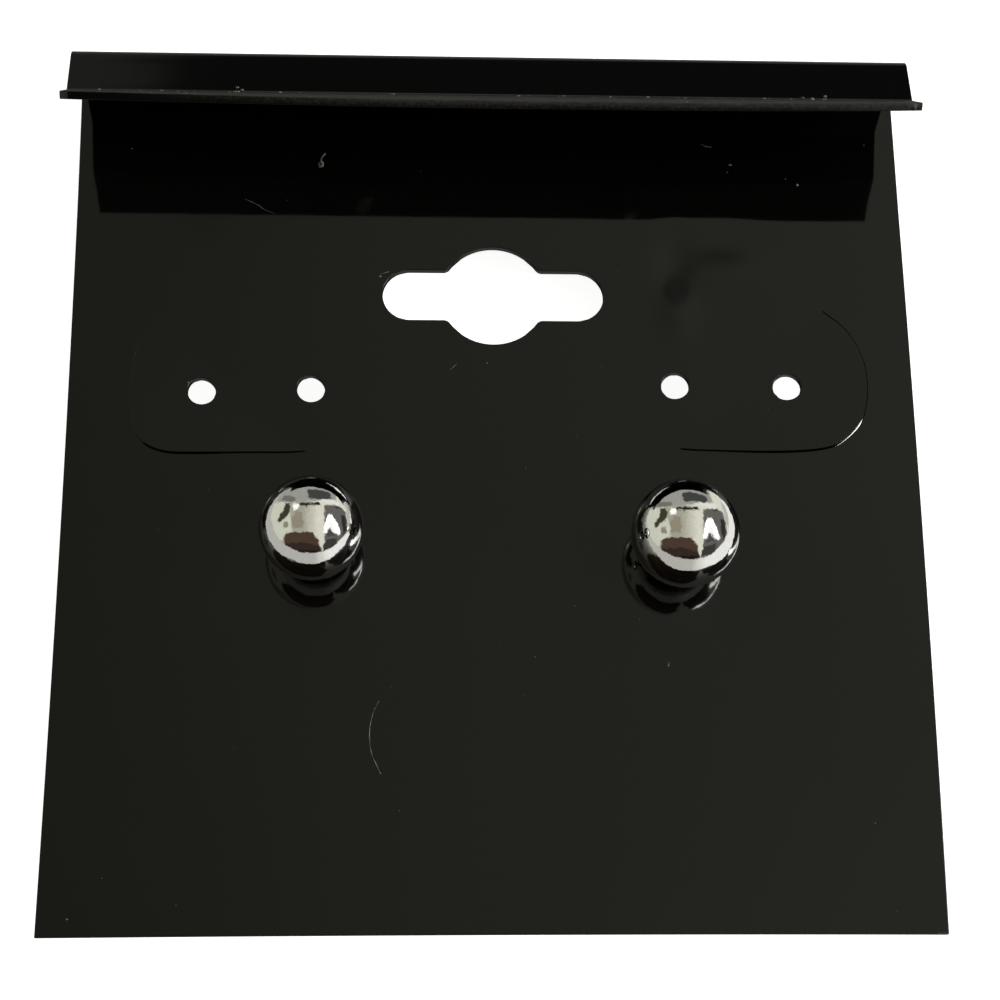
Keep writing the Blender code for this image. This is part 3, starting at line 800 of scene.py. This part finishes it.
# The light and dark that the balls mirror, drawn by direction: a and b are degrees from straight up, to the
# right and towards the lip. Each patch is a convex shape: its sides are (a, b) corners, clockwise.
room = {
    "ceilingLeft": (0.39, 0.38, 0.305), "ceilingRight": (0.73, 0.72, 0.62),
    "ceilingFrom": -16, "ceilingTo": 18, "soft": 3.0, "wobble": 9.0, "wobbleNoise": (7.0, 3.0),
    "patches": [
        # colour, corners
        ((0.30, 0.265, 0.20), [(-48, 2), (-34, 38), (-20, 36), (-14, 2)]),  # shaded part, left
        ((0.62, 0.63, 0.52), [(-100, -40), (-100, 60), (-52, 60), (-40, 10), (-44, -24)]),  # pale side, left
        ((0.34, 0.34, 0.31), [(-100, 56), (-60, 130), (60, 130), (60, 62), (-8, 62)]),  # far side
        ((0.17, 0.17, 0.15), [(-74, 66), (-66, 78), (-36, 72), (-34, 64), (-50, 60)]),  # darker on it
        # dark side, right
        ((0.13, 0.125, 0.115), [(31, 52), (60, 58), (84, 40), (88, -20), (50, -40), (30, -28)]),
        # its darkest edge
        ((0.035, 0.035, 0.032), [(35, 46), (38, 53), (66, 52), (78, 36), (70, 34), (60, 46)]),
        ((0.035, 0.03, 0.03), [(72, 4), (72, 30), (82, 28), (84, -6), (76, -14)]),
        # pale past it
        ((0.50, 0.50, 0.46), [(62, 60), (84, 74), (130, 40), (130, -30), (88, -30), (86, 22)]),
        ((0.80, 0.80, 0.74), [(14, 64), (40, 70), (70, 60), (66, 52), (40, 58)]),  # light streak
        # wide dark bar
        ((0.055, 0.06, 0.056), [(-9, 69), (-9, 95), (10, 97), (46, 84), (46, 66), (24, 68)]),
        # thin dark bar and its middle
        ((0.02, 0.02, 0.014), [(-24, 51), (-26, 58), (21, 58), (22, 51)]),
        ((0.02, 0.02, 0.014), [(-20, 58), (-3, 58), (-9, 46)]),
        # small round light, brighter inside
        ((1.0, 0.99, 0.88), [(-43, 47), (-38, 56), (-29, 57), (-24, 49), (-29, 41), (-38, 40)]),
        ((7.0, 7.0, 6.2), [(-37, 48), (-35, 52), (-31, 52), (-30, 48), (-33, 45)]),
        # small dark bars
        ((0.05, 0.045, 0.03), [(-64, 34), (-62, 58), (-51, 58), (-46, 42), (-52, 25)]),
        ((0.05, 0.045, 0.03), [(-78, 17), (-66, 37), (-52, 38), (-50, 28), (-72, 12)]),
        ((0.26, 0.26, 0.20), [(-60, 0), (-60, 14), (-50, 14), (-48, 2)]),
        # dark low side, darker further down
        ((0.073, 0.046, 0.033), [(-62, -60), (-60, -16), (-46, -8), (4, -8), (18, -24), (22, -64)]),
        ((0.036, 0.023, 0.018), [(-62, -90), (-58, -34), (-20, -30), (18, -36), (40, -90)]),
        ((0.012, 0.008, 0.007), [(-60, -90), (-54, -50), (16, -48), (40, -90)]),
        ((0.05, 0.045, 0.04), [(26, -64), (29, -34), (36, -26), (58, -22), (62, -52)]),
        # bright panel in two parts, a brighter strip on each, and the dark between them
        ((1.05, 1.05, 1.0), [(27, -12), (33, 16), (40, 32), (49, 32), (52, 14), (39, -10)]),
        ((1.05, 1.05, 1.0), [(42, 4), (42, 28), (50, 32), (58, 14), (69, -6), (65, -14), (55, -11)]),
        ((24.0, 24.0, 23.0), [(31, -6), (41, 28), (45, 27), (36, -6)]),
        ((24.0, 24.0, 23.0), [(44, 24), (47, 27), (65, -6), (61, -9)]),
        ((0.08, 0.07, 0.07), [(37, -18), (42, 0), (46, 2), (57, -16)]),
    ],
    # the backdrop lies below a plane that sinks by this many degrees towards the lip, lighter to the right
    "horizon": 34.5, "horizonEdge": (-25.0, 0.5), "backdrop": (0.47, 0.46, 0.43),
    "backdropSide": (0.88, 0.88, 0.84), "sideFrom": 0.1, "sideEdge": 2.2,
    # the card's painted shadow below it: its colour, then a factor and what is added for how it comes in
    "paintedCardShadow": (0.012, 0.012, 0.01, 1), "paintedCardShadowEdge": (-5.0, -3.4),
    "sampleSize": 512,
}


def insidePatch(a, b, corners, soft):
    # how far inside every side of a convex shape whose corners run clockwise, as 0 to 1
    inside = None
    for (a0, b0), (a1, b1) in zip(corners, corners[1:] + corners[:1]):
        length = math.hypot(a1 - a0, b1 - b0)
        na, nb = (b1 - b0) / length, -(a1 - a0) / length
        depth = a.scaled(na / soft, b.scaled(nb / soft, 0.5 - (na * a0 + nb * b0) / soft))
        inside = depth if inside is None else inside.least(depth)
    return inside.clamped()


def paintRoom(tree):
    direction = addNode(tree, "ShaderNodeTexCoord")
    x, y, z = partsOf(tree, direction)
    flat = (x * x + y * y + 1e-8).root()
    lean = flat.angleTo(z) * (180 / math.pi)
    # the edges of everything in it waver a little: noise * wobble, in degrees
    wobble = room["wobble"]
    waver = partsOf(tree, noise(tree, direction, *room["wobbleNoise"], output=1))
    a = x / flat * lean + waver[0].scaled(wobble, -wobble / 2)
    b = y / flat * lean + waver[1].scaled(wobble, -wobble / 2)
    across = room["ceilingTo"] - room["ceilingFrom"]
    share = a.scaled(1 / across, -room["ceilingFrom"] / across).clamped()
    colour = mixColour(tree, share, room["ceilingLeft"] + (1,), room["ceilingRight"] + (1,))
    for shade, corners in room["patches"]:
        share = insidePatch(a, b, corners, room["soft"])
        colour = mixColour(tree, share, colour, shade + (1,))
    rise = math.radians(room["horizon"])
    factor, added = room["horizonEdge"]
    below = (y * math.sin(rise) + z * math.cos(rise)) * factor + added
    side = ((x - room["sideFrom"]) * room["sideEdge"]).clamped()
    sweep = mixColour(tree, side, room["backdrop"] + (1,), room["backdropSide"] + (1,))
    colour = mixColour(tree, below.clamped(), colour, sweep)
    # painted shadow: directions straight down are darkened, standing in for the card's own shadow on what
    # lies below it
    colour = mixColour(tree, z.scaled(*room["paintedCardShadowEdge"]).clamped(), colour, room["paintedCardShadow"])
    mirrored = tree.nodes["Background"]
    join(tree, mirrored.inputs["Color"], colour)
    # the camera sees plain white instead
    white = addNode(tree, "ShaderNodeBackground", Color=(1, 1, 1, 1), Strength=1.0)
    seen = addNode(tree, "ShaderNodeLightPath", None, "Is Camera Ray")
    both = addNode(tree, "ShaderNodeMixShader", i0=seen, i1=Wire(tree, mirrored.outputs[0]), i2=white)
    join(tree, tree.nodes["World Output"].inputs["Surface"], both)


world = bpy.data.worlds.new("room")
bpy.context.scene.world = world
world.use_nodes = True
world.cycles.sampling_method = "MANUAL"
world.cycles.sample_map_resolution = room["sampleSize"]

ground = {"reach": 2, "base": (0.8, 0.8, 0.8, 1), "glow": 0.9}
reach = ground["reach"]
floorMesh = bpy.data.meshes.new("floor")
floorMesh.from_pydata([(-reach, -reach, 0), (reach, -reach, 0), (reach, reach, 0), (-reach, reach, 0)],
                      [], [(0, 1, 2, 3)])
floor = bpy.data.objects.new("floor", floorMesh)
bpy.context.scene.collection.objects.link(floor)
floorMaterial = bpy.data.materials.new("floorWhite")
floorMaterial.use_nodes = True
floorShader = floorMaterial.node_tree.nodes["Principled BSDF"]
floorShader.inputs["Base Color"].default_value = ground["base"]
floorShader.inputs["Emission Color"].default_value = (1, 1, 1, 1)
floorShader.inputs["Emission Strength"].default_value = ground["glow"]
floor.data.materials.append(floorMaterial)
floor.visible_glossy = False
floor.visible_diffuse = False
floor.visible_shadow = False

paintRoom(world.node_tree)
cameraFit = {"place": (-0.0051056, -0.00105993, 0.13504979), "turn": (-0.00290554, -0.04394249, 0.00514881),
             "lens": 76.996, "sensor": 36.0, "nearest": 0.005}
cameraData = bpy.data.cameras.new("camera")
cameraData.lens = cameraFit["lens"]
cameraData.sensor_width = cameraFit["sensor"]
cameraData.clip_start = cameraFit["nearest"]
cameraObject = bpy.data.objects.new("camera", cameraData)
bpy.context.scene.collection.objects.link(cameraObject)
cameraObject.location = cameraFit["place"]
cameraObject.rotation_euler = cameraFit["turn"]
bpy.context.scene.camera = cameraObject
